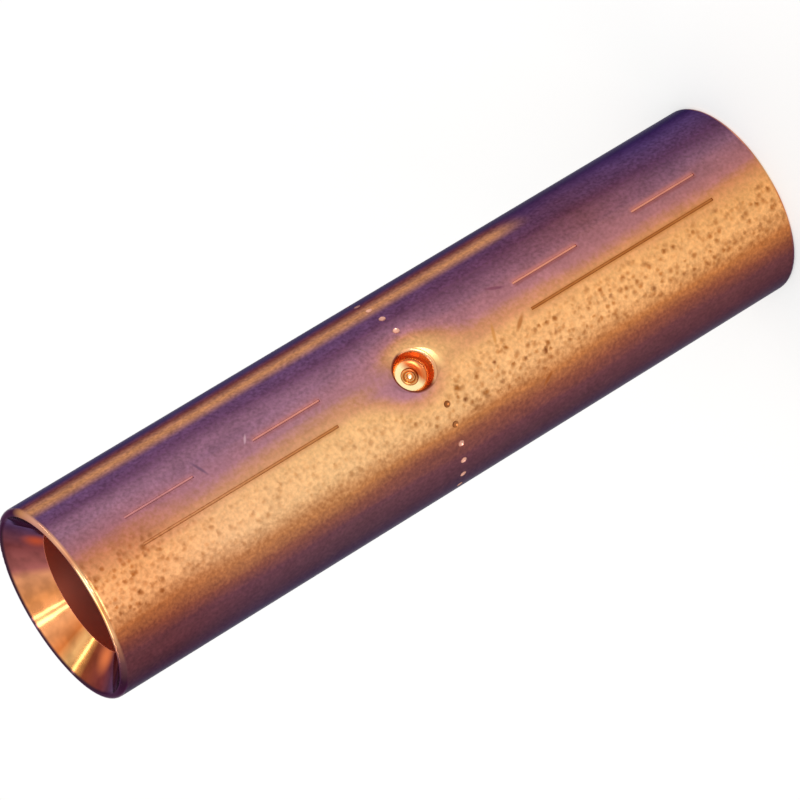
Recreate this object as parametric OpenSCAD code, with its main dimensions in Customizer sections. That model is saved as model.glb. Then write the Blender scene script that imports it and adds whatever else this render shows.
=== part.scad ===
// Copper compression splice: one tube that joins two stranded conductors end to end.
// Each conductor goes in at one end as far as the stop, and the wall is then crimped on it.
// Z runs along the tube, with the origin at the middle of the lower end face.
// The punched stop faces -Y.

/* [Tube] */
// Length of the tube, end to end
tube_length = 50; // [40:1:80]
// Outside diameter
outer_d = 12.5; // [11.5:0.1:15]
// Inside diameter, which the conductor goes into
bore_d = 8.2; // [7:0.1:9]

/* [Ends] */
// Rounding of the outside edge at both ends
edge_round = 0.3; // [0.1:0.05:0.6]
// Width of the flat ring on each end face, between the rounding and the funnel
end_land = 0.1; // [0.05:0.05:0.4]
// Depth of the funnel that leads the strands into the bore
funnel_depth = 1.8; // [0.8:0.1:3]

/* [Stop] */
// Distance from mid-length up to the punched stop
stop_shift = 1.2; // [0:0.1:3]
// Height of the bump that the punch raises in the bore
stop_height = 1.5; // [0.8:0.1:2.2]
// Radius of the bump's dome
stop_dome_r = 3; // [2.5:0.1:3.6]
// Length of the bore that the punch leaves a little tight
stop_zone = 6; // [4:0.5:9]
// How much the radius of the bore shrinks in that zone
stop_squeeze = 0.05; // [0.03:0.01:0.12]

/* [Crater] */
// Diameter of the punch mark at the outside
crater_d = 2.5; // [1.8:0.1:3]
// Depth of the punch mark
crater_depth = 1.2; // [0.8:0.1:1.6]
// Slope of its wall, in degrees from straight
crater_draft = 9; // [4:1:12]
// Rounding of its lip
lip_round = 0.2; // [0.1:0.05:0.3]
// Rounding between its wall and its floor
floor_round = 0.4; // [0.2:0.05:0.5]
// Diameter of the ring that is pressed into its floor
ring_d = 0.85; // [0.7:0.05:1]
// Width of that ring, which is half as deep
ring_w = 0.24; // [0.1:0.02:0.3]
// Diameter of the pip in the middle of the ring
pip_d = 0.5; // [0.3:0.05:0.6]
// Height of the pip
pip_height = 0.16; // [0.06:0.02:0.24]
// Depth of the shallow dish that the wall sinks into around the punch mark
dish_depth = 0.3; // [0.2:0.05:0.4]
// Radius of that dish
dish_r = 5; // [4:0.5:7]

/* [Dots] */
// Number of places for a dot around the tube; the punch mark takes one, and the two beside it stay empty
dot_count = 29; // [12:1:36]
// Width of a dot
dot_w = 0.45; // [0.2:0.05:0.5]
// Depth of a dot
dot_depth = 0.1; // [0.05:0.01:0.15]
// Distance from mid-length up to the ring of dots
dot_shift = 0.5; // [0:0.1:1.5]

/* [Crimp marks] */
// Distance from mid-length to the inner end of the marks
mark_start = 7.1; // [5:0.1:9]
// Distance from an end face to the outer end of the marks
mark_end_gap = 4.1; // [2:0.1:8]
// Length of each of the two dashes beside the long mark
dash_length = 4.8; // [1:0.1:6.5]
// Angle from the stop round to the long mark
mark_angle = -4.6; // [-20:0.1:0]
// Angle from the stop round to the dashes
dash_angle = 12.8; // [8:0.1:30]
// Width of a mark
mark_w = 0.18; // [0.12:0.01:0.4]
// Depth of a mark
mark_depth = 0.06; // [0.04:0.01:0.09]

/* [Hidden] */

// How far a cutter stands out of what it cuts
over = 1;
fine = 96;
copper = "#C98352";

outer_r = outer_d / 2;
bore_r = bore_d / 2;
middle = tube_length / 2;
stop_z = middle + stop_shift;
mouth_r = outer_r - edge_round - end_land;
// The funnel is one straight cone, so its radius grows by this for each millimetre of height
funnel_slope = (mouth_r - bore_r) / funnel_depth;
// The bump is rooted in the wall, half way through it
root_r = (outer_r + bore_r) / 2;
mark_length = middle - mark_start - mark_end_gap;

// Radius of a round-nosed tool that leaves a mark of this width and depth
function nose_r(width, depth) = (width * width / 4 + depth * depth) / (2 * depth);

// Turns its children about the tube, counted from the stop, and stands them on the outside
module on_outside(angle, z) {
    rotate([0, 0, angle - 90])
        translate([outer_r, 0, z])
            children();
}

// The void along the axis: two straight sockets with funnels, and the tight zone between them
module bore_section() {
    half_zone = stop_zone / 2;
    past_r = mouth_r + over * funnel_slope;
    polygon([
        [0, -over],
        [past_r, -over],
        [bore_r, funnel_depth],
        [bore_r, stop_z - half_zone],
        [bore_r - stop_squeeze, stop_z],
        [bore_r, stop_z + half_zone],
        [bore_r, tube_length - funnel_depth],
        [past_r, tube_length + over],
        [0, tube_length + over],
    ]);
}

// What the rounding takes off the upper outside corner of the section
module corner_section() {
    translate([outer_r - edge_round, tube_length - edge_round])
        difference() {
            square(edge_round + over);
            circle(r = edge_round, $fn = fine);
        }
}

module tube() {
    rotate_extrude($fn = fine)
        difference() {
            square([outer_r, tube_length]);
            bore_section();
            corner_section();
            translate([0, tube_length])
                mirror([0, 1])
                    corner_section();
        }
}

// The bump inside, a dome that is cut off where it is rooted in the wall
module stop_bump() {
    intersection() {
        translate([0, stop_height - bore_r - stop_dome_r, stop_z])
            sphere(r = stop_dome_r, $fn = fine);
        translate([0, 0, stop_z - stop_dome_r - over])
            cylinder(r = root_r, h = 2 * (stop_dome_r + over), $fn = fine);
    }
}

// Half of the punch mark's section: rounded lip, sloping wall, bowl-shaped floor, pressed ring and pip
module crater_section() {
    rise = tan(crater_draft);
    // The rounding of the lip ends on the wall, at this depth and radius
    lip_end = dish_depth / 2 + lip_round;
    lip_end_r = crater_d / 2 - lip_end * rise;
    // The wall runs down from there to the rounding of the floor
    floor_end = crater_depth - floor_round;
    floor_end_r = crater_d / 2 - floor_end * rise;
    floor_r = floor_end_r - floor_round;
    pip_r = nose_r(pip_d, pip_height);
    difference() {
        union() {
            polygon([
                [0, -lip_end],
                [lip_end_r, -lip_end],
                [floor_end_r, -floor_end],
                [floor_r, -floor_end],
                [floor_r, -crater_depth],
                [0, -crater_depth],
            ]);
            translate([floor_r, -floor_end])
                circle(r = floor_round, $fn = fine);
            translate([ring_d / 2, -crater_depth])
                circle(d = ring_w, $fn = fine);
        }
        translate([0, pip_height - crater_depth - pip_r])
            circle(r = pip_r, $fn = fine);
    }
    translate([0, -lip_end])
        difference() {
            square([lip_end_r + lip_round, lip_end + over]);
            translate([lip_end_r + lip_round, 0])
                circle(r = lip_round, $fn = fine);
        }
}

// The punch mark with the shallow dish around it
module punch_mark() {
    on_outside(0, stop_z) {
        rotate([0, 90, 0])
            rotate_extrude($fn = fine)
                crater_section();
        translate([dish_r - dish_depth, 0, 0])
            sphere(r = dish_r, $fn = fine);
    }
}

// Dots right round the tube, but for the place that the punch mark takes and the two beside it
module dot_ring() {
    nose = nose_r(dot_w, dot_depth);
    for (place = [2 : dot_count - 2])
        on_outside(place * 360 / dot_count, middle + dot_shift)
            translate([nose - dot_depth, 0, 0])
                sphere(r = nose, $fn = fine);
}

// One straight mark along the tube, from z upwards
module mark(angle, z, length) {
    nose = nose_r(mark_w, mark_depth);
    on_outside(angle, z)
        translate([nose - mark_depth, 0, 0])
            cylinder(r = nose, h = length, $fn = fine);
}

// The marks of the upper half: one long line, and a dash beside each of its ends
module upper_marks() {
    mark(mark_angle, middle + mark_start, mark_length);
    mark(dash_angle, middle + mark_start, dash_length);
    mark(dash_angle, middle + mark_start + mark_length - dash_length, dash_length);
}

module sleeve() {
    color(copper)
        difference() {
            union() {
                tube();
                stop_bump();
            }
            punch_mark();
            dot_ring();
            upper_marks();
            translate([0, 0, tube_length])
                mirror([0, 0, 1])
                    upper_marks();
        }
}

sleeve();
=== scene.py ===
import math

import bmesh
import bpy
from mathutils import Matrix, Vector


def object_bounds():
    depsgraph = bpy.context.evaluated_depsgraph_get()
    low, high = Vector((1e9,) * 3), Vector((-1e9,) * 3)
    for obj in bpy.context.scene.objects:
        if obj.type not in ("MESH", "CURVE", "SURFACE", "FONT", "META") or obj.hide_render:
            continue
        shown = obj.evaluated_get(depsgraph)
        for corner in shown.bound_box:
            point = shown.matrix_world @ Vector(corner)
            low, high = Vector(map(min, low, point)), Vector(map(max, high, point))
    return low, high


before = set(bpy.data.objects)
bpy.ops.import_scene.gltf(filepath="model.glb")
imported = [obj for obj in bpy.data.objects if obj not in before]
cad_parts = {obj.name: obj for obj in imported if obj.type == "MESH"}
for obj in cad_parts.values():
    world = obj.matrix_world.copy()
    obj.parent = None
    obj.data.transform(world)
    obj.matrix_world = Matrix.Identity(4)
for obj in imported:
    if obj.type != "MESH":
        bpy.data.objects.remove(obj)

mm = 0.001
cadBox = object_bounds()
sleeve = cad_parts["sleeve"]
tubeMiddle = (cadBox[0] + cadBox[1]) / 2
print("frame loaded, box in mm:", [round(v / mm, 2) for v in cadBox[1] - cadBox[0]])


# a point seen from the tube's middle: azimuth counts from the front, where the stop faces
def aroundTube(azimuth, elevation, distance):
    turn = math.radians(azimuth)
    rise = math.radians(elevation)
    direction = Vector((math.sin(turn) * math.cos(rise), -math.cos(turn) * math.cos(rise), math.sin(rise)))
    return tubeMiddle + direction * distance


cameraLook = {
    "azimuth": -9.2,
    "elevation": 22.42,
    "distance": 299.9 * mm,
    "topEndAngle": 211.31,  # where the top end points in the picture, in degrees from the right
    "focalPixels": 5083.6,
    "picturePixels": 800,
    "middleRight": 0.30 * mm,  # the tube's middle lies this far off the picture's centre
    "middleUp": 0.25 * mm,
    "sensorWidth": 36.0,  # in millimetres, as Blender counts a lens
    "clip": (0.01, 20.0),  # in metres
}


def makeCamera(look):
    data = bpy.data.cameras.new("camera")
    data.sensor_width = look["sensorWidth"]
    data.lens = look["focalPixels"] / look["picturePixels"] * data.sensor_width
    data.clip_start, data.clip_end = look["clip"]
    camera = bpy.data.objects.new("camera", data)
    bpy.context.scene.collection.objects.link(camera)
    place = aroundTube(look["azimuth"], look["elevation"], look["distance"])
    level = (tubeMiddle - place).to_track_quat("-Z", "Y")
    roll = Matrix.Rotation(math.radians(90.0 - look["topEndAngle"]), 3, "Z")
    turn = level.to_matrix() @ roll
    offset = turn @ Vector((look["middleRight"], look["middleUp"], 0.0))
    camera.matrix_world = Matrix.Translation(place - offset) @ turn.to_4x4()
    bpy.context.scene.camera = camera


makeCamera(cameraLook)
print("camera set")


# sRGB hex to linear colour
def linear(hexColour):
    parts = [int(hexColour[i:i + 2], 16) / 255 for i in (1, 3, 5)]
    return tuple(p / 12.92 if p <= 0.04045 else ((p + 0.055) / 1.055) ** 2.4 for p in parts) + (1.0,)


# adds one node and gives back its first output in use
# settings are its properties, and links maps an input to a socket or a fixed value
# inputs of a colour Mix: 0 is the share, and 6 and 7 are the colours
# inputs of a Map Range: 0 is mapped from 1 and 2 to 3 and 4, which are 0 and 1 unless they are given
def addNode(tree, kind, settings=None, links=None):
    node = tree.nodes.new(kind)
    for name, value in (settings or {}).items():
        setattr(node, name, value)
    for name, value in (links or {}).items():
        if isinstance(value, bpy.types.NodeSocket):
            tree.links.new(value, node.inputs[name])
        else:
            node.inputs[name].default_value = value
    return next((socket for socket in node.outputs if socket.enabled), None)


floorLook = {
    "radius": 3.0,  # in metres
    "segments": 96,
    "colour": "#F6F5F3",
    "glow": 0.55,  # share of the plain white that the lens and the metal see whatever the light
}


# matt white paper, which gives a plain white ground with the tube's soft shadow on it
def makeFloor(look):
    bm = bmesh.new()
    bmesh.ops.create_circle(bm, cap_ends=True, segments=look["segments"], radius=look["radius"])
    mesh = bpy.data.meshes.new("floor")
    bm.to_mesh(mesh)
    bm.free()
    floor = bpy.data.objects.new("floor", mesh)
    bpy.context.scene.collection.objects.link(floor)
    material = bpy.data.materials.new("whitePaper")
    material.use_nodes = True
    tree = material.node_tree
    tree.nodes.clear()
    paper = addNode(tree, "ShaderNodeBsdfDiffuse", links={"Color": linear(look["colour"])})
    white = addNode(tree, "ShaderNodeEmission", links={"Color": linear("#FFFFFF"), "Strength": 1.0})
    path = addNode(tree, "ShaderNodeLightPath").node.outputs
    seen = addNode(tree, "ShaderNodeMath", {"operation": "ADD"},
                   {0: path["Is Camera Ray"], 1: path["Is Glossy Ray"]})
    seen = addNode(tree, "ShaderNodeMath", {"operation": "ADD", "use_clamp": True},
                   {0: seen, 1: path["Is Transmission Ray"]})
    share = addNode(tree, "ShaderNodeMath", {"operation": "MULTIPLY"}, {0: seen, 1: look["glow"]})
    mixed = addNode(tree, "ShaderNodeMixShader", links={0: share, 1: paper, 2: white})
    addNode(tree, "ShaderNodeOutputMaterial", links={"Surface": mixed})
    mesh.materials.append(material)


makeFloor(floorLook)

# softboxes round the tube: azimuth and elevation in degrees, distance and size in metres, and glow in
# units of plain white
lamps = {
    "key": {"azimuth": -28, "elevation": 13, "distance": 0.6, "size": (0.22, 0.26), "glow": 6.5},
    "card": {"azimuth": -9, "elevation": 9, "distance": 0.6, "size": (0.15, 0.1), "glow": 12.0},
    "back": {"azimuth": 180, "elevation": 62, "distance": 0.7, "size": (0.25, 0.3), "glow": 3.0},
    "top": {"azimuth": 60, "elevation": 80, "distance": 0.8, "size": (0.6, 0.6), "glow": 0.3},
    "mouthStripA": {"azimuth": -15, "elevation": 66, "distance": 0.6, "size": (0.022, 0.2), "glow": 5.0},
    "mouthStripB": {"azimuth": 3, "elevation": 66, "distance": 0.6, "size": (0.032, 0.2), "glow": 5.0},
    "mouthStripC": {"azimuth": 92, "elevation": 42, "distance": 0.6, "size": (0.02, 0.2), "glow": 5.0},
}
worldLook = {"colour": "#FFFFFF", "strength": 0.87}


def makeLights():
    for name, lamp in lamps.items():
        data = bpy.data.lights.new(name, "AREA")
        data.shape = "RECTANGLE"
        data.size, data.size_y = lamp["size"]
        data.energy = lamp["glow"] * math.pi * data.size * data.size_y
        light = bpy.data.objects.new(name, data)
        bpy.context.scene.collection.objects.link(light)
        light.location = aroundTube(lamp["azimuth"], lamp["elevation"], lamp["distance"])
        light.rotation_euler = (tubeMiddle - light.location).to_track_quat("-Z", "Y").to_euler()
    world = bpy.data.worlds.new("studio")
    bpy.context.scene.world = world
    world.use_nodes = True
    background = world.node_tree.nodes["Background"]
    background.inputs["Color"].default_value = linear(worldLook["colour"])
    background.inputs["Strength"].default_value = worldLook["strength"]


makeLights()
print("floor and lights set")


# a tint by angle from the stop, in degrees, as the stops of a ramp that runs once round the tube
def aroundStops(tint):
    return [(degrees / 360.0 + 0.5, colour) for degrees, colour in tint.items()]


# gives a colour ramp its stops, each a position and a colour
def fillRamp(ramp, stops):
    elements = ramp.node.color_ramp.elements
    while len(elements) < len(stops):
        elements.new(1.0)
    for element, (position, colour) in zip(elements, stops):
        element.position = position
        element.color = linear(colour)
    return ramp


tubeLook = {
    "outerRadius": (cadBox[1].x - cadBox[0].x) / 2,
    "length": cadBox[1].z - cadBox[0].z,
    "boreRadius": 4.1 * mm,
    "funnelDepth": 1.8 * mm,
    "stopHeight": 26.2 * mm,
    "dish": (1.32 * mm, 0.7 * mm, 1.75 * mm),  # half sizes of the shallow dish round the crater
    "roughness": 0.36,
    "edge": "#ADAABC",  # what a glancing look leaves of the shine
    "bareEdge": "#E8CCBC",  # the same on bare copper
}
# two noises that the tint, the pits and the marks share, by the size of their blotches
noiseLook = {
    "grain": 0.22 * mm,
    "patch": 1.1 * mm,
    "detail": 2.0,
    "patchSpan": (0.35, 0.6),  # values between which a dull patch fades out
}
# the marks are worn fainter towards the upper end, down to this share, and the painted highlight and shade
# beside them fade with them
wornLook = {"share": 0.25, "from": 25.0 * mm, "to": 44.0 * mm}


# where a point lies on the tube: angle from the stop, radius, height, and offset from the punch
def findPlace(tree):
    place = addNode(tree, "ShaderNodeTexCoord").node.outputs["Object"]
    axes = addNode(tree, "ShaderNodeSeparateXYZ", links={0: place}).node.outputs
    front = addNode(tree, "ShaderNodeMath", {"operation": "MULTIPLY"}, {0: axes["Y"], 1: -1.0})
    angle = addNode(tree, "ShaderNodeMath", {"operation": "ARCTAN2"}, {0: axes["X"], 1: front})
    flat = addNode(tree, "ShaderNodeVectorMath", {"operation": "MULTIPLY"}, {0: place, 1: (1.0, 1.0, 0.0)})
    radius = addNode(tree, "ShaderNodeVectorMath", {"operation": "LENGTH"}, {0: flat})
    offMiddle = addNode(tree, "ShaderNodeMath", {"operation": "SUBTRACT"},
                        {0: axes["Z"], 1: tubeLook["length"] / 2})
    offMiddle = addNode(tree, "ShaderNodeMath", {"operation": "ABSOLUTE"}, {0: offMiddle})
    punch = (0.0, -tubeLook["outerRadius"], tubeLook["stopHeight"])
    fromPunch = addNode(tree, "ShaderNodeVectorMath", {"operation": "SUBTRACT"}, {0: place, 1: punch})
    inDish = addNode(tree, "ShaderNodeVectorMath", {"operation": "MULTIPLY"},
                     {0: fromPunch, 1: tuple(1.0 / s for s in tubeLook["dish"])})
    inDish = addNode(tree, "ShaderNodeVectorMath", {"operation": "LENGTH"}, {0: inDish})
    grain, patch = (addNode(tree, "ShaderNodeTexNoise",
                            links={"Vector": place, "Scale": 1.0 / size, "Detail": noiseLook["detail"]})
                    for size in (noiseLook["grain"], noiseLook["patch"]))
    worn = addNode(tree, "ShaderNodeMapRange",
                   links={0: axes["Z"], 1: wornLook["from"], 2: wornLook["to"], 3: 1.0, 4: wornLook["share"]})
    return {"place": place, "front": front, "angle": angle, "flat": flat, "radius": radius,
            "height": axes["Z"], "offMiddle": offMiddle, "fromPunch": fromPunch, "inDish": inDish,
            "grain": grain, "scatter": grain.node.outputs["Color"], "patch": patch, "worn": worn}


# painted reflections by angle from the stop, in degrees: gold lobes where a warm light would reflect, with
# violet and blue reflected surroundings between them and painted dark shade on the flanks
paintedReflectionTint = {
    -180: "#D09458",
    -170: "#D09458",
    -135: "#985844",
    -95: "#382838",
    -78: "#5C4448",
    -58: "#70444C",
    -47: "#905444",
    -38: "#C07C4C",
    -27: "#ECB680",
    -10: "#E3AC75",
    0: "#CA8C68",
    8: "#B07880",
    20: "#94687C",
    34: "#6A4462",
    52: "#644C76",
    68: "#301E4A",
    100: "#402C50",
    135: "#985844",
    170: "#D09458",
    180: "#D09458",
}
# how the painted reflections deepen along the tube, by share of its height: on the gold and on the violet
# side
goldTone = {0.1: "#FFF4E0", 0.37: "#FDF7EE", 0.68: "#F3F8F8", 0.82: "#F2F2F9", 0.93: "#EDDAD0"}
violetTone = {0.1: "#E7E3E7", 0.23: "#F3DDC6", 0.37: "#F3E7E3", 0.68: "#FFFFFF"}

paintedTintLook = {
    "violetAngle": 70.0,  # middle of the violet side, in degrees from the stop
    "violetEdge": (0.45, 0.68),  # cosines of the angles from there at which that side begins and is full
    "lean": 1.6,  # degrees that the tint wanders round the tube from mid-length to an end
    "streakSize": (1.6 * mm, 1.6 * mm, 12.0 * mm),
    "streakDetail": 3.0,
    "streakTurn": 4.0,  # degrees that a streak shifts the tint
    "grainTurn": 1.6,
    "turnSpan": (0.25, 0.75),  # values of the noises that shift it one way and the other
}
# how the painted reflections bend round the punch's dent, in degrees across and along it
reflectionBend = {"pull": (-34.0, 0.0, 17.0), "size": (1.3 * mm, 6.0 * mm, 1.6 * mm)}


# the painted reflections on the skin: they bend round the punch's dent, and wander a little in streaks and in
# grain
def paintedReflectionColour(tree, at):
    near = addNode(tree, "ShaderNodeVectorMath", {"operation": "MULTIPLY"},
                   {0: at["fromPunch"], 1: tuple(1.0 / s for s in reflectionBend["size"])})
    square = addNode(tree, "ShaderNodeVectorMath", {"operation": "DOT_PRODUCT"}, {0: near, 1: near})
    # the pull falls off in a bell curve
    fall = addNode(tree, "ShaderNodeMath", {"operation": "MULTIPLY"}, {0: square, 1: -0.5})
    fall = addNode(tree, "ShaderNodeMath", {"operation": "EXPONENT"}, {0: fall})
    pull = addNode(tree, "ShaderNodeVectorMath", {"operation": "DOT_PRODUCT"},
                   {0: near, 1: tuple(math.radians(p) for p in reflectionBend["pull"])})
    turned = addNode(tree, "ShaderNodeMath", {"operation": "MULTIPLY_ADD"},
                     {0: pull, 1: fall, 2: at["angle"]})
    lean = math.radians(paintedTintLook["lean"])
    leaned = addNode(tree, "ShaderNodeMapRange",
                     links={0: at["height"], 1: 0.0, 2: tubeLook["length"], 3: lean, 4: -lean})
    turned = addNode(tree, "ShaderNodeMath", {"operation": "ADD"}, {0: turned, 1: leaned})
    stretched = addNode(tree, "ShaderNodeVectorMath", {"operation": "MULTIPLY"},
                        {0: at["place"], 1: tuple(1.0 / s for s in paintedTintLook["streakSize"])})
    streak = addNode(tree, "ShaderNodeTexNoise",
                     links={"Vector": stretched, "Scale": 1.0, "Detail": paintedTintLook["streakDetail"]})
    low, high = paintedTintLook["turnSpan"]
    for noise, degrees in ((streak, paintedTintLook["streakTurn"]), (at["grain"], paintedTintLook["grainTurn"])):
        turn = math.radians(degrees)
        sway = addNode(tree, "ShaderNodeMapRange", links={0: noise, 1: low, 2: high, 3: -turn, 4: turn})
        turned = addNode(tree, "ShaderNodeMath", {"operation": "ADD"}, {0: turned, 1: sway})
    at["tintAngle"] = turned
    share = addNode(tree, "ShaderNodeMapRange", links={0: turned, 1: -math.pi, 2: math.pi})
    tint = fillRamp(addNode(tree, "ShaderNodeValToRGB", links={0: share}), aroundStops(paintedReflectionTint))
    height = addNode(tree, "ShaderNodeMath", {"operation": "DIVIDE"},
                     {0: at["height"], 1: tubeLook["length"]})
    onGold, onViolet = (fillRamp(addNode(tree, "ShaderNodeValToRGB", links={0: height}), list(tone.items()))
                        for tone in (goldTone, violetTone))
    side = addNode(tree, "ShaderNodeMath", {"operation": "SUBTRACT"},
                   {0: at["angle"], 1: math.radians(paintedTintLook["violetAngle"])})
    side = addNode(tree, "ShaderNodeMath", {"operation": "COSINE"}, {0: side})
    low, high = paintedTintLook["violetEdge"]
    at["violetShare"] = addNode(tree, "ShaderNodeMapRange", links={0: side, 1: low, 2: high})
    tone = addNode(tree, "ShaderNodeMix", {"data_type": "RGBA"},
                   {0: at["violetShare"], 6: onGold, 7: onViolet})
    return addNode(tree, "ShaderNodeMix", {"data_type": "RGBA", "blend_type": "MULTIPLY"},
                   {0: 1.0, 6: tint, 7: tone})


stripHighlightLook = {
    "colour": "#C88B5F",
    "fringe": "#7A4438",
    "angle": 50.3,  # degrees from the stop
    "fringeShift": 7.0,
    "halfWidth": 9.0,
    "start": 15.0 * mm,
    "fade": 1.6 * mm,
}


# a painted highlight along the tube, the reflection of a strip light, with a darker brown fringe on the side
# away from the stop
def addStripHighlight(tree, at, colour):
    start, fade = stripHighlightLook["start"], stripHighlightLook["fade"]
    started = addNode(tree, "ShaderNodeMapRange", {"interpolation_type": "SMOOTHSTEP"},
                      {0: at["height"], 1: start - fade, 2: start + fade})
    for tone, shift in (("fringe", stripHighlightLook["fringeShift"]), ("colour", 0.0)):
        middle = math.radians(stripHighlightLook["angle"] + shift)
        off = addNode(tree, "ShaderNodeMath", {"operation": "SUBTRACT"}, {0: at["angle"], 1: middle})
        off = addNode(tree, "ShaderNodeMath", {"operation": "ABSOLUTE"}, {0: off})
        on = addNode(tree, "ShaderNodeMapRange", {"interpolation_type": "SMOOTHSTEP"},
                     {0: off, 1: math.radians(stripHighlightLook["halfWidth"]), 2: 0.0})
        on = addNode(tree, "ShaderNodeMath", {"operation": "MULTIPLY"}, {0: on, 1: started})
        colour = addNode(tree, "ShaderNodeMix", {"data_type": "RGBA"},
                         {0: on, 6: colour, 7: linear(stripHighlightLook[tone])})
    return colour


mottleLook = {
    "grain": 0.15,
    "patch": 0.06,
    "span": (0.3, 0.7),  # values of the noises that darken and lighten most
    "violetGain": 1.7,  # how many times stronger both are on the violet side
}


# fine mottling of the drawn skin
def addMottle(tree, at, colour):
    strength = addNode(tree, "ShaderNodeMapRange",
                       links={0: at["violetShare"], 3: 1.0, 4: mottleLook["violetGain"]})
    low, high = mottleLook["span"]
    for noise in ("grain", "patch"):
        depth = mottleLook[noise]
        mottle = addNode(tree, "ShaderNodeMapRange",
                         links={0: at[noise], 1: low, 2: high, 3: -depth, 4: depth})
        mottle = addNode(tree, "ShaderNodeMath", {"operation": "MULTIPLY_ADD"},
                         {0: mottle, 1: strength, 2: 1.0})
        colour = addNode(tree, "ShaderNodeVectorMath", {"operation": "SCALE"}, {0: colour, "Scale": mottle})
    return colour


pitLook = {
    "from": -44.0,  # edges of the pitted strip, in degrees from the stop
    "to": -3.0,
    "fade": 11.0,
    "stray": 0.1,  # share of the pits past each edge
    "mouthReach": 11.0,  # how much wider the strip is at the upper end, in degrees
    "mouthHeight": 43.0 * mm,
    "mouthFade": 3.0 * mm,
    "cleanHeight": 36.0 * mm,  # middle of a cleaner stretch in the upper half
    "cleanHalf": (7.0 * mm, 11.0 * mm),  # how far that is cleanest, and where it ends
    "sparse": 0.5,  # share of the pits left there
    "ragged": 0.2 * mm,
    "core": 0.1,  # share of a pit's radius that is darkest
}
# painted shade of the skin's real small pits: soft specks, and fewer dark pits among them
pits = (
    {"colour": "#CCB090", "spacing": 0.36 * mm, "radius": 0.23 * mm},
    {"colour": "#B08C60", "spacing": 0.5 * mm, "radius": 0.3 * mm},
    {"colour": "#8A5C34", "spacing": 0.9 * mm, "radius": 0.25 * mm},
)


# small pits painted dark as shade, most of them in the gold
def addPits(tree, at, colour):
    offClean = addNode(tree, "ShaderNodeMath", {"operation": "SUBTRACT"},
                       {0: at["height"], 1: pitLook["cleanHeight"]})
    offClean = addNode(tree, "ShaderNodeMath", {"operation": "ABSOLUTE"}, {0: offClean})
    low, high = pitLook["cleanHalf"]
    shares = [addNode(tree, "ShaderNodeMapRange", links={0: offClean, 1: low, 2: high, 3: pitLook["sparse"]})]
    mouth, soft = pitLook["mouthHeight"], pitLook["mouthFade"]
    reach = math.radians(pitLook["mouthReach"])
    wider = addNode(tree, "ShaderNodeMapRange",
                    links={0: at["height"], 1: mouth - soft, 2: mouth + soft, 4: reach})
    fade = math.radians(pitLook["fade"])
    for angle in (at["angle"], at["tintAngle"]):
        narrowed = addNode(tree, "ShaderNodeMath", {"operation": "SUBTRACT"}, {0: angle, 1: wider})
        for side, name, step in ((angle, "from", fade), (narrowed, "to", -fade)):
            edge = math.radians(pitLook[name])
            shares.append(addNode(tree, "ShaderNodeMapRange",
                                  links={0: side, 1: edge, 2: edge + step, 3: pitLook["stray"]}))
    ragged = addNode(tree, "ShaderNodeVectorMath", {"operation": "MULTIPLY_ADD"},
                     {0: at["scatter"], 1: (pitLook["ragged"],) * 3, 2: at["place"]})
    for pit in pits:
        cells = addNode(tree, "ShaderNodeTexVoronoi",
                        links={"Vector": ragged, "Scale": 1.0 / pit["spacing"]}).node.outputs
        reach = pit["radius"] / pit["spacing"]
        spots = addNode(tree, "ShaderNodeMapRange", {"interpolation_type": "SMOOTHSTEP"},
                        {0: cells["Distance"], 1: reach, 2: pitLook["core"] * reach})
        odds = addNode(tree, "ShaderNodeSeparateColor", links={0: cells["Color"]})
        for share in (odds, *shares):
            spots = addNode(tree, "ShaderNodeMath", {"operation": "MULTIPLY"}, {0: spots, 1: share})
        colour = addNode(tree, "ShaderNodeMix", {"data_type": "RGBA", "blend_type": "MULTIPLY"},
                         {0: spots, 6: colour, 7: linear(pit["colour"])})
    return colour


# middle is counted from mid-length
markLightLook = {"middle": 14.0 * mm, "half": 6.9 * mm, "soft": 0.15 * mm}
# angle is in degrees from the stop, and gap is half the unpainted stretch in the middle of a row
markLightRows = (
    # painted shade beside the mark on the gold side; on the violet side a painted highlight above and a
    # painted shade below
    {"colour": "#B4702F", "angle": -4.8, "halfWidth": 0.32 * mm, "share": 0.7, "gap": 0.0},
    {"colour": "#C87C70", "angle": 13.4, "halfWidth": 0.34 * mm, "share": 0.7, "gap": 2.1 * mm},
    {"colour": "#884B4C", "angle": 11.3, "halfWidth": 0.18 * mm, "share": 0.6, "gap": 2.1 * mm},
)


# beside the pressed marks, painted highlight and shade lie in rows along both halves of the tube
def addMarkLight(tree, at, colour):
    along = addNode(tree, "ShaderNodeMath", {"operation": "SUBTRACT"},
                    {0: at["offMiddle"], 1: markLightLook["middle"]})
    along = addNode(tree, "ShaderNodeMath", {"operation": "ABSOLUTE"}, {0: along})
    half, soft = markLightLook["half"], markLightLook["soft"]
    for row in markLightRows:
        off = addNode(tree, "ShaderNodeMath", {"operation": "SUBTRACT"},
                      {0: at["angle"], 1: math.radians(row["angle"])})
        off = addNode(tree, "ShaderNodeMath", {"operation": "ABSOLUTE"}, {0: off})
        edges = [addNode(tree, "ShaderNodeMapRange", {"interpolation_type": "SMOOTHSTEP"},
                         {0: off, 1: row["halfWidth"] / tubeLook["outerRadius"], 2: 0.0, 4: row["share"]}),
                 addNode(tree, "ShaderNodeMapRange", links={0: along, 1: half + soft, 2: half - soft})]
        if row["gap"]:
            edges.append(addNode(tree, "ShaderNodeMapRange",
                                 links={0: along, 1: row["gap"] - soft, 2: row["gap"] + soft}))
        share = at["worn"]
        for edge in edges:
            share = addNode(tree, "ShaderNodeMath", {"operation": "MULTIPLY"}, {0: share, 1: edge})
        colour = addNode(tree, "ShaderNodeMix", {"data_type": "RGBA"},
                         {0: share, 6: colour, 7: linear(row["colour"])})
    return colour


scratchLook = {
    "share": 0.8,
    "core": 0.3,  # share of a scratch's half sizes that is strongest
}
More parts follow.
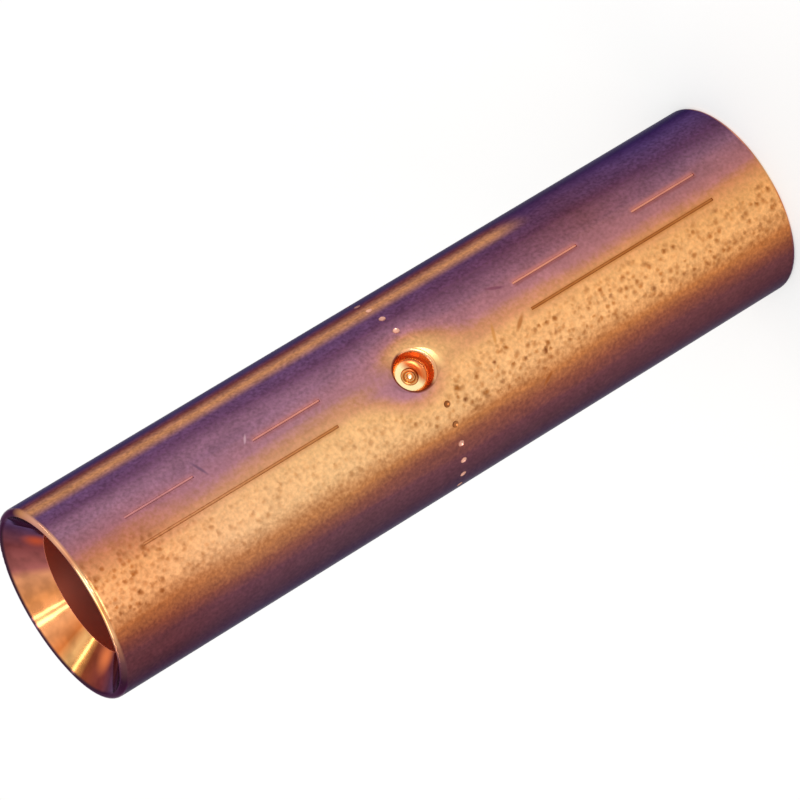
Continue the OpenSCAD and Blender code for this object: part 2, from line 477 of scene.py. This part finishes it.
# lean is in degrees from the tube's axis, and half is half the width and length
scratches = (
    {"colour": "#A86430", "angle": -7.7, "height": 19.0 * mm, "lean": 39.0, "half": (0.2 * mm, 0.8 * mm)},
    {"colour": "#9C5428", "angle": -43.0, "height": 18.8 * mm, "lean": 37.0, "half": (0.16 * mm, 0.65 * mm)},
    {"colour": "#C48444", "angle": -5.6, "height": 20.8 * mm, "lean": 68.0, "half": (0.16 * mm, 0.85 * mm)},
    {"colour": "#7C4458", "angle": 16.2, "height": 19.0 * mm, "lean": -25.0, "half": (0.17 * mm, 0.8 * mm)},
    {"colour": "#C8A0AC", "angle": 15.7, "height": 37.2 * mm, "lean": 53.0, "half": (0.1 * mm, 0.45 * mm)},
    {"colour": "#705066", "angle": 15.0, "height": 40.5 * mm, "lean": -72.0, "half": (0.13 * mm, 0.9 * mm)},
)


# single scratches from handling, drawn on the unrolled tube
def addScratches(tree, at, colour):
    radius = tubeLook["outerRadius"]
    arc = addNode(tree, "ShaderNodeMath", {"operation": "MULTIPLY"}, {0: at["angle"], 1: radius})
    unrolled = addNode(tree, "ShaderNodeCombineXYZ", links={0: arc, 1: at["height"]})
    for scratch in scratches:
        centre = (math.radians(scratch["angle"]) * radius, scratch["height"], 0.0)
        lean = (0.0, 0.0, math.radians(scratch["lean"]))
        local = addNode(tree, "ShaderNodeMapping", {"vector_type": "TEXTURE"},
                        {"Vector": unrolled, "Location": centre, "Rotation": lean,
                         "Scale": (*scratch["half"], 1.0)})
        off = addNode(tree, "ShaderNodeVectorMath", {"operation": "LENGTH"}, {0: local})
        share = addNode(tree, "ShaderNodeMapRange", {"interpolation_type": "SMOOTHSTEP"},
                        {0: off, 1: 1.0, 2: scratchLook["core"], 4: scratchLook["share"]})
        colour = addNode(tree, "ShaderNodeMix", {"data_type": "RGBA"},
                         {0: share, 6: colour, 7: linear(scratch["colour"])})
    return colour


pressedLook = {
    "goldMark": ("#AC6430", "#A86632"),  # lower and upper side of a mark: painted shade below, painted highlight above
    "violetMark": ("#B07064", "#D48C74"),
    # the dots are painted dark as shade on the gold side and pale as a glint on the violet side
    "goldDot": "#92562C",
    "violetDot": "#F0B49C",
    "goldMarkAngle": -4.6,  # degrees from the stop
    "violetMarkAngle": 12.8,
    "markTurn": (-0.45, 0.05),  # degrees from there, between which the lower side passes into the upper
    "goldFrom": -43.0,  # degrees from the stop between which the tint is gold
    "goldTo": 4.0,
    "ringReach": 2.0 * mm,  # the dots lie within this of mid-length
    "depth": (0.006 * mm, 0.03 * mm),  # below the skin, where the bare look starts and where it is full
    "faded": 0.35,  # share of the bare look left on the dots of one side
    "fadedAngle": 90.0,
    "fadedReach": (20.0, 40.0),  # degrees from there, to which they are faintest and past which whole
    "uneven": 0.6,  # share of the bare look left in the dull patches
}


# pressed marks and dots lie below the skin, outside the dish of the punch; their bare copper carries painted
# shade and highlight
def addPressed(tree, at, colour):
    skin = tubeLook["outerRadius"]
    start, full = pressedLook["depth"]
    pressed = addNode(tree, "ShaderNodeMapRange", {"interpolation_type": "SMOOTHSTEP"},
                      {0: at["radius"], 1: skin - start, 2: skin - full})
    offDish = addNode(tree, "ShaderNodeMath", {"operation": "GREATER_THAN"}, {0: at["inDish"], 1: 1.0})
    faded = addNode(tree, "ShaderNodeMath", {"operation": "SUBTRACT"},
                    {0: at["angle"], 1: math.radians(pressedLook["fadedAngle"])})
    faded = addNode(tree, "ShaderNodeMath", {"operation": "ABSOLUTE"}, {0: faded})
    low, high = (math.radians(degrees) for degrees in pressedLook["fadedReach"])
    faded = addNode(tree, "ShaderNodeMapRange", links={0: faded, 1: low, 2: high, 3: pressedLook["faded"]})
    low, high = noiseLook["patchSpan"]
    uneven = addNode(tree, "ShaderNodeMapRange",
                     links={0: at["patch"], 1: low, 2: high, 3: pressedLook["uneven"]})
    for share in (offDish, at["worn"], faded, uneven):
        pressed = addNode(tree, "ShaderNodeMath", {"operation": "MULTIPLY"}, {0: pressed, 1: share})
    onRing = addNode(tree, "ShaderNodeMath", {"operation": "LESS_THAN"},
                     {0: at["offMiddle"], 1: pressedLook["ringReach"]})
    pastFrom = addNode(tree, "ShaderNodeMath", {"operation": "GREATER_THAN"},
                       {0: at["angle"], 1: math.radians(pressedLook["goldFrom"])})
    beforeTo = addNode(tree, "ShaderNodeMath", {"operation": "LESS_THAN"},
                       {0: at["angle"], 1: math.radians(pressedLook["goldTo"])})
    onGold = addNode(tree, "ShaderNodeMath", {"operation": "MULTIPLY"}, {0: pastFrom, 1: beforeTo})
    tones = []
    for kind in ("violet", "gold"):
        lower, upper = (linear(tone) for tone in pressedLook[kind + "Mark"])
        low, high = (math.radians(pressedLook[kind + "MarkAngle"] + turn) for turn in pressedLook["markTurn"])
        across = addNode(tree, "ShaderNodeMapRange", links={0: at["angle"], 1: low, 2: high})
        mark = addNode(tree, "ShaderNodeMix", {"data_type": "RGBA"}, {0: across, 6: lower, 7: upper})
        tones.append(addNode(tree, "ShaderNodeMix", {"data_type": "RGBA"},
                             {0: onRing, 6: mark, 7: linear(pressedLook[kind + "Dot"])}))
    tone = addNode(tree, "ShaderNodeMix", {"data_type": "RGBA"}, {0: onGold, 6: tones[0], 7: tones[1]})
    return addNode(tree, "ShaderNodeMix", {"data_type": "RGBA"}, {0: pressed, 6: colour, 7: tone})


# painted highlight and shade on the rims by angle from the stop, in degrees: bright at the front, and dark
# round the back
rimLightTint = {
    -180: "#402834",
    -75: "#3C2630",
    -58: "#704648",
    -48: "#AC7056",
    -38: "#F8BA86",
    -22: "#EC9A58",
    -9: "#FFD89C",
    8: "#D89068",
    21: "#F6B48A",
    32: "#DC9E7E",
    42: "#E4A48C",
    57: "#D29262",
    68: "#3C2630",
    180: "#402834",
}
# painted reflections in the turned funnels by angle from the stop, with bright painted highlight lobes
funnelReflectionTint = {
    -180: "#F0A068",
    -166: "#D0743A",
    -157: "#FFBE78",
    -148: "#ECA058",
    -142: "#94462C",
    -122: "#843E3A",
    -112: "#6C4448",
    -102: "#6C5470",
    -92: "#706C98",
    0: "#C89C80",
    82: "#685E88",
    95: "#604458",
    117: "#884444",
    137: "#B46660",
    144: "#F0A070",
    160: "#F09858",
    180: "#F0A068",
}
turnedLook = {
    "roughness": 0.1,
    "edge": "#C4B4C4",
    "patch": 0.3,  # how much darker the dull patches of a funnel are
    "rimDepth": (0.22 * mm, 0.1 * mm),  # below an end, where the rim's tint starts and where it is full
    "rimSpread": 0.12 * mm,  # how much further down it reaches away from the front
    "spreadAngles": (42.0, 62.0),  # degrees from the stop
    "funnelRadius": (5.8 * mm, 5.7 * mm),  # where the funnel's tint starts and where it is full
}
# painted reflected glow by the bore in each funnel
funnelGlowSpots = (
    {"angle": 108.0, "radius": 4.4 * mm, "size": 0.8 * mm, "colour": "#C45434"},
    {"angle": -127.0, "radius": 4.4 * mm, "size": 1.0 * mm, "colour": "#F0824C"},
)


# turned rims and funnels with their painted highlight, shade and reflections; a layer is where it lies, its
# colour and its look
def endLayers(tree, at):
    end = tubeLook["length"] / 2
    fromFront = addNode(tree, "ShaderNodeMath", {"operation": "ABSOLUTE"}, {0: at["angle"]})
    low, high = (math.radians(degrees) for degrees in turnedLook["spreadAngles"])
    spread = addNode(tree, "ShaderNodeMapRange",
                     links={0: fromFront, 1: low, 2: high, 4: turnedLook["rimSpread"]})
    atEnd = addNode(tree, "ShaderNodeMath", {"operation": "ADD"}, {0: at["offMiddle"], 1: spread})
    start, full = turnedLook["rimDepth"]
    atEnd = addNode(tree, "ShaderNodeMapRange", links={0: atEnd, 1: end - start, 2: end - full})
    start, full = turnedLook["funnelRadius"]
    inside = addNode(tree, "ShaderNodeMapRange", links={0: at["radius"], 1: start, 2: full})
    share = addNode(tree, "ShaderNodeMapRange", links={0: at["angle"], 1: -math.pi, 2: math.pi})
    rim, funnel = (fillRamp(addNode(tree, "ShaderNodeValToRGB", links={0: share}), aroundStops(tint))
                   for tint in (rimLightTint, funnelReflectionTint))
    low, high = noiseLook["patchSpan"]
    mottle = addNode(tree, "ShaderNodeMapRange",
                     links={0: at["patch"], 1: low, 2: high, 3: 1.0 - turnedLook["patch"]})
    funnel = addNode(tree, "ShaderNodeVectorMath", {"operation": "SCALE"}, {0: funnel, "Scale": mottle})
    for spot in funnelGlowSpots:
        turn = math.radians(spot["angle"])
        centre = (spot["radius"] * math.sin(turn), -spot["radius"] * math.cos(turn), 0.0)
        off = addNode(tree, "ShaderNodeVectorMath", {"operation": "DISTANCE"}, {0: at["flat"], 1: centre})
        glowShare = addNode(tree, "ShaderNodeMapRange", {"interpolation_type": "SMOOTHSTEP"},
                        {0: off, 1: spot["size"], 2: 0.0})
        funnel = addNode(tree, "ShaderNodeMix", {"data_type": "RGBA"},
                         {0: glowShare, 6: funnel, 7: linear(spot["colour"])})
    return (atEnd, rim, turnedLook), (inside, funnel, turnedLook)


boreLook = {
    "colour": "#DC9484",
    # the mouth's colour is a painted reflected glow
    "mouth": "#E88468",
    "mouthDepth": 1.5 * mm,
    "skin": (0.012 * mm, 0.004 * mm),  # past the bore's radius, where its look starts and where it is full
    "roughness": 0.42,
    "edge": tubeLook["bareEdge"],
}


# the bore, with a painted reflected glow where it meets the funnels
def boreLayer(tree, at):
    start, full = (tubeLook["boreRadius"] + past for past in boreLook["skin"])
    inBore = addNode(tree, "ShaderNodeMapRange", links={0: at["radius"], 1: start, 2: full})
    mouth = tubeLook["length"] / 2 - tubeLook["funnelDepth"]
    mouthGlowShare = addNode(tree, "ShaderNodeMapRange",
                      links={0: at["offMiddle"], 1: mouth - boreLook["mouthDepth"], 2: mouth})
    bore = addNode(tree, "ShaderNodeMix", {"data_type": "RGBA"},
                   {0: mouthGlowShare, 6: linear(boreLook["colour"]), 7: linear(boreLook["mouth"])})
    return inBore, bore, boreLook


# the punch mark by distance from its axis, as shares of its radius: pip, ring, floor, wall and lip, with a
# painted highlight on the floor and painted shade on the lip
craterLitTint = {
    0.0: "#FFE8C0",
    0.16: "#FFD8A0",
    0.2: "#D09050",
    0.28: "#C88448",
    0.34: "#E8B070",
    0.4: "#FFE4A8",
    0.66: "#FFF0B8",
    0.73: "#F0B060",
    0.79: "#B04A24",
    0.88: "#74301E",
    1.0: "#8A5040",
}
# the same on the side with painted shade and a painted red reflected glow
craterShadedTint = {
    0.0: "#FFE8C0",
    0.16: "#F8C890",
    0.22: "#A04C1C",
    0.34: "#8E3C16",
    0.42: "#C05826",
    0.52: "#D06430",
    0.66: "#E8864C",
    0.8: "#F4AC74",
    0.88: "#F0B080",
    1.0: "#D8A070",
}
craterLook = {
    "radius": 1.42 * mm,
    "soft": 0.1 * mm,
    "aboveBore": 0.2 * mm,  # its look stops this far outside the bore
    "shadedSide": (0.3, 0.0, -0.95),  # direction from the punch's axis to the side with painted shade and red glow
    "shadedFrom": 0.05 * mm,
    "shadedTo": 0.5 * mm,
    "roughness": 0.26,
    "edge": tubeLook["bareEdge"],
}
# one side of the dish round the punch mark has a painted highlight
dishShineLook = {
    "colour": "#F8C888",
    "side": (0.49, 0.0, -0.87),  # direction from the punch's axis
    "from": 0.9 * mm,
    "to": 1.4 * mm,
    "reach": (1.15, 0.9),  # in half sizes of the dish, where the burnish starts and where it is full
    "roughness": 0.36,
    "edge": tubeLook["bareEdge"],
}


# the punch mark with its painted highlight and shade, from the painted shine on one side of its dish down to
# its floor
def punchLayers(tree, at):
    radius = craterLook["radius"]
    offAxis = addNode(tree, "ShaderNodeVectorMath", {"operation": "MULTIPLY"},
                      {0: at["fromPunch"], 1: (1.0, 0.0, 1.0)})
    offAxis = addNode(tree, "ShaderNodeVectorMath", {"operation": "LENGTH"}, {0: offAxis})
    share = addNode(tree, "ShaderNodeMapRange", links={0: offAxis, 1: 0.0, 2: radius})
    pale, red = (fillRamp(addNode(tree, "ShaderNodeValToRGB", links={0: share}), list(tint.items()))
                 for tint in (craterLitTint, craterShadedTint))
    towardsShaded, towardsShine = (addNode(tree, "ShaderNodeVectorMath", {"operation": "DOT_PRODUCT"},
                                         {0: at["fromPunch"], 1: side})
                                 for side in (craterLook["shadedSide"], dishShineLook["side"]))
    shadedShare = addNode(tree, "ShaderNodeMapRange",
                   links={0: towardsShaded, 1: craterLook["shadedFrom"], 2: craterLook["shadedTo"]})
    punched = addNode(tree, "ShaderNodeMix", {"data_type": "RGBA"}, {0: shadedShare, 6: pale, 7: red})
    dishShine = addNode(tree, "ShaderNodeMapRange",
                        links={0: towardsShine, 1: dishShineLook["from"], 2: dishShineLook["to"]})
    start, full = dishShineLook["reach"]
    inDish = addNode(tree, "ShaderNodeMapRange", links={0: at["inDish"], 1: start, 2: full})
    dishShine = addNode(tree, "ShaderNodeMath", {"operation": "MULTIPLY"}, {0: inDish, 1: dishShine})
    inCrater = addNode(tree, "ShaderNodeMapRange",
                       links={0: offAxis, 1: radius, 2: radius - craterLook["soft"]})
    outer = addNode(tree, "ShaderNodeMath", {"operation": "GREATER_THAN"},
                    {0: at["front"], 1: tubeLook["boreRadius"] + craterLook["aboveBore"]})
    inCrater = addNode(tree, "ShaderNodeMath", {"operation": "MULTIPLY"}, {0: inCrater, 1: outer})
    return (dishShine, linear(dishShineLook["colour"]), dishShineLook), (inCrater, punched, craterLook)


# drawn copper tube whose gold, rose and violet bands are painted reflections, with painted shade on the
# flanks;
# the pressed, punched and turned places are bare and brighter, with painted highlights and shade, and the
# bore is dull
def makeCopper():
    material = bpy.data.materials.new("copperPaintedLight")
    material.use_nodes = True
    tree = material.node_tree
    shader = tree.nodes["Principled BSDF"]
    shader.inputs["Metallic"].default_value = 1.0
    at = findPlace(tree)
    colour = paintedReflectionColour(tree, at)
    for addMarks in (addStripHighlight, addMottle, addPits, addMarkLight, addScratches, addPressed):
        colour = addMarks(tree, at, colour)
    roughness = tubeLook["roughness"]
    edge = linear(tubeLook["edge"])
    for mask, tone, look in (*endLayers(tree, at), boreLayer(tree, at), *punchLayers(tree, at)):
        colour = addNode(tree, "ShaderNodeMix", {"data_type": "RGBA"}, {0: mask, 6: colour, 7: tone})
        roughness = addNode(tree, "ShaderNodeMix", {"data_type": "FLOAT"},
                            {0: mask, 2: roughness, 3: look["roughness"]})
        edge = addNode(tree, "ShaderNodeMix", {"data_type": "RGBA"},
                       {0: mask, 6: edge, 7: linear(look["edge"])})
    tree.links.new(colour, shader.inputs["Base Color"])
    tree.links.new(roughness, shader.inputs["Roughness"])
    tree.links.new(edge, shader.inputs["Specular Tint"])
    sleeve.data.materials[0] = material


makeCopper()
print("copper made")
bpy.context.scene.view_settings.view_transform = "Standard"
